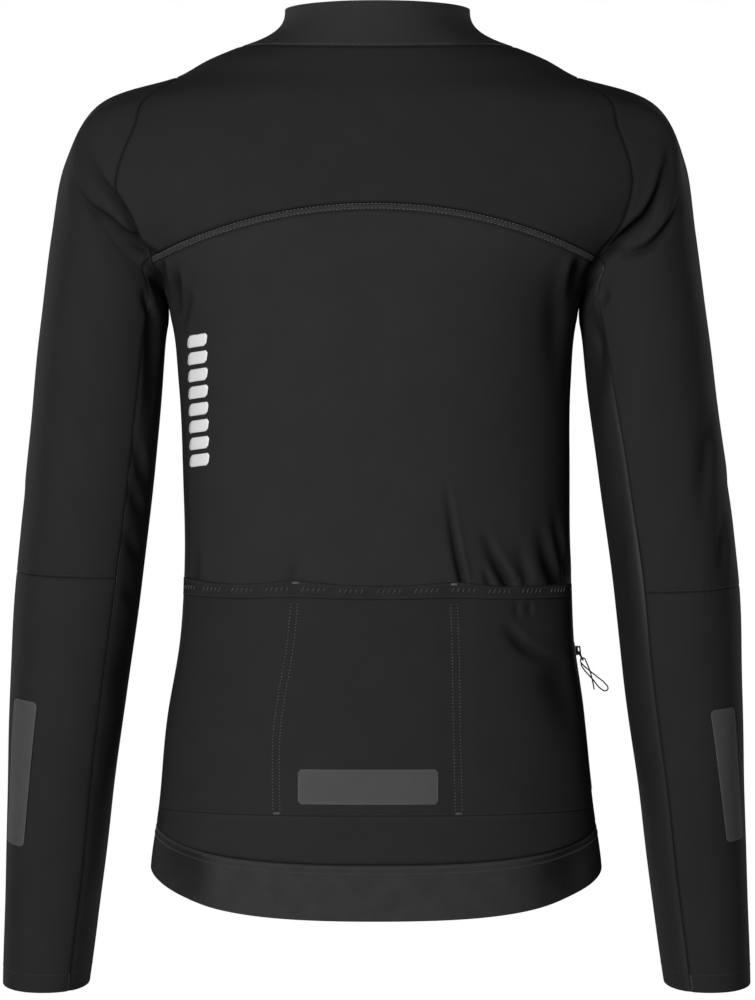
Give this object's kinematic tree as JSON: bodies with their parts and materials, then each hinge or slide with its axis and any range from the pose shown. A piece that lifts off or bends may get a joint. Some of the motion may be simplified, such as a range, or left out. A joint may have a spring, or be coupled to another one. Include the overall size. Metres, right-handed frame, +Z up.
{
  "type": "softshell jacket",
  "caption": "Close-fitting softshell cycling jacket with a stand collar, full front zip, back pockets with an elastic binding, and an elastic hem, shown filled out and empty.",
  "frame": {"origin": "between the shoulders, on the middle plane, level with the sides of the neck seam: where a wearer carries the jacket", "axes": "+Z up towards the collar, +Y the way the wearer faces, so the back faces -Y, +X the wearer's right"},
  "size_m": [0.568, 0.2301, 0.7379],
  "materials": {
    "softshell": "matte, very fine weave",
    "stretch": "satin stretch knit",
    "elastic": "matte ribbed elastic",
    "film": "grey reflective transfer film",
    "zip_tape": "woven tape",
    "zip_plastic": "moulded coil",
    "zip_metal": "black painted die casting",
    "cord": "braided cord"
  },
  "bodies": {
    "jacket": {"back_lower": "softshell", "back_yoke": "softshell", "collar": "softshell", "front_left": "softshell", "front_right": "softshell", "hem_band": "elastic", "pocket_binding": "elastic", "pocket_panel": "softshell", "side_zip_chain": "zip_plastic", "side_zip_slider": "zip_metal", "side_zip_tape": "zip_tape", "sleeve_forearm_left": "softshell", "sleeve_forearm_right": "softshell", "sleeve_under_left": "stretch", "sleeve_under_right": "stretch", "sleeve_upper_left": "softshell", "sleeve_upper_right": "softshell", "strip_back": "film", "strip_sleeve_left": "film", "strip_sleeve_right": "film", "zip_chain": "zip_plastic", "zip_slider": "zip_metal", "zip_tape_left": "zip_tape", "zip_tape_right": "zip_tape"},
    "front_pull": {"zip_pull": "zip_metal"},
    "side_pull": {"side_zip_tab": "zip_metal", "side_pull_cord": "cord"}
  },
  "joints": [
    {"name": "front_pull_hinge", "type": "hinge", "parent": "jacket", "child": "front_pull", "pos_m": [-0.0003, 0.07644, -0.03027], "axis": [0.9999, 0.0035, -0.0124], "range_deg": [0, 110]},
    {"name": "side_pull_hinge", "type": "hinge", "parent": "jacket", "child": "side_pull", "pos_m": [0.15182, 0.01906, -0.45207], "axis": [0.1246, -0.9922, 0.0035], "range_deg": [-8, 75]}
  ]
}
